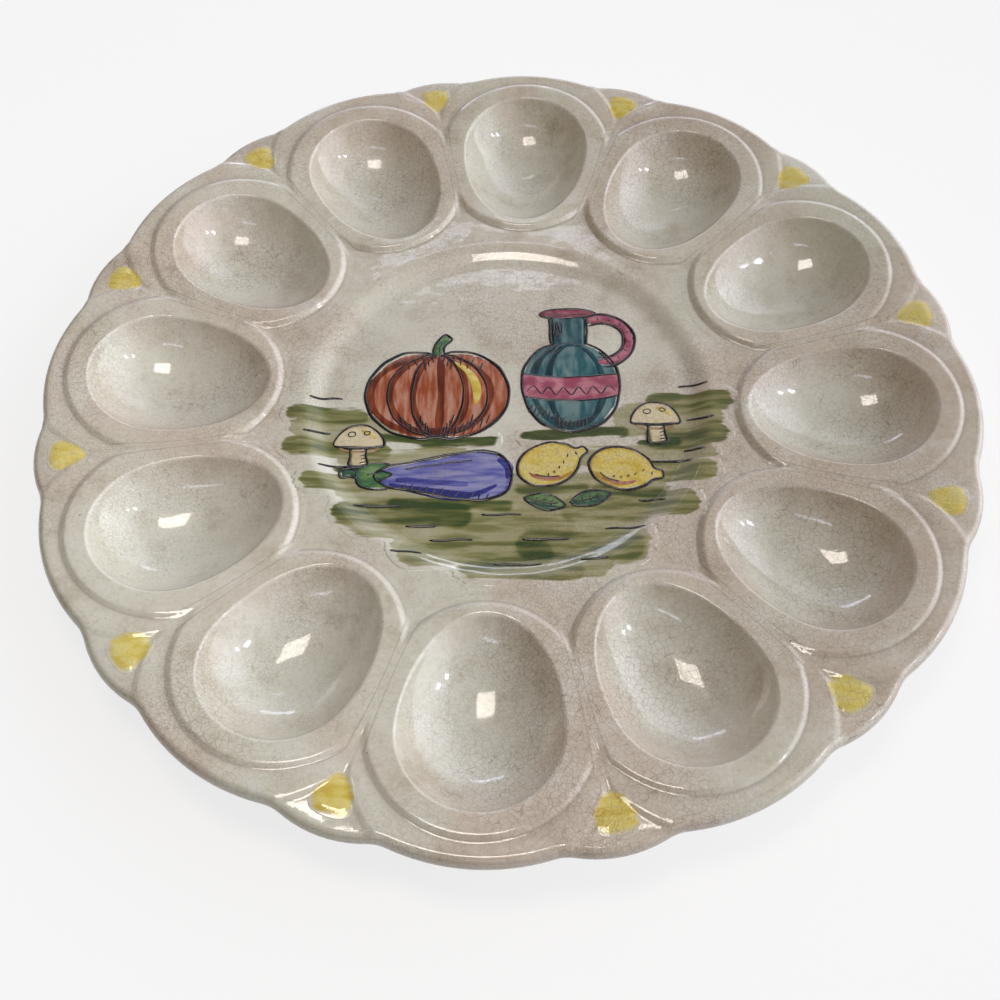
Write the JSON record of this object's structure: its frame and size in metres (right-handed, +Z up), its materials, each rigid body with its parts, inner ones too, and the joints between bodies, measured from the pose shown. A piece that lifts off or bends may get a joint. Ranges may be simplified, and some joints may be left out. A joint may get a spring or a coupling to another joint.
{
  "type": "deviled egg platter",
  "caption": "Round glazed earthenware platter with a scalloped rim, a ring of egg hollows and a painted centre well.",
  "frame": {"origin": "centre of the foot ring's flat underside, on the table", "axes": "+Z up out of the platter's face, +Y towards the top of the painted still life, +X to its right"},
  "size_m": [0.3016, 0.3016, 0.0259],
  "materials": {
    "glazed_earthenware": "pale cream earthenware under a clear, finely crazed gloss glaze",
    "pad_yellow": "brushed yellow ceramic colour under the same crazed gloss glaze",
    "green_paint": "watery green ceramic colour under a clear gloss glaze",
    "teal_paint": "teal ceramic colour under a clear gloss glaze",
    "rose_paint": "rose ceramic colour under a clear gloss glaze",
    "rust_paint": "rust brown ceramic colour under a clear gloss glaze",
    "lemon_paint": "lemon yellow ceramic colour under a clear gloss glaze",
    "violet_paint": "violet ceramic colour under a clear gloss glaze",
    "leaf_paint": "leaf green ceramic colour under a clear gloss glaze",
    "cream_paint": "cream ceramic colour under a clear gloss glaze",
    "ink": "black ink line under a clear gloss glaze"
  },
  "bodies": {
    "root": {"platter_body": "glazed_earthenware", "yellow_pad_01": "pad_yellow", "yellow_pad_02": "pad_yellow", "yellow_pad_03": "pad_yellow", "yellow_pad_04": "pad_yellow", "yellow_pad_05": "pad_yellow", "yellow_pad_06": "pad_yellow", "yellow_pad_07": "pad_yellow", "yellow_pad_08": "pad_yellow", "yellow_pad_09": "pad_yellow", "yellow_pad_10": "pad_yellow", "yellow_pad_11": "pad_yellow", "yellow_pad_12": "pad_yellow", "green_ground_paint": "green_paint", "teal_paint": "teal_paint", "rose_paint": "rose_paint", "rust_paint": "rust_paint", "yellow_paint": "lemon_paint", "violet_paint": "violet_paint", "leaf_green_paint": "leaf_paint", "cream_paint": "cream_paint", "ink_lines": "ink"}
  },
  "joints": []
}
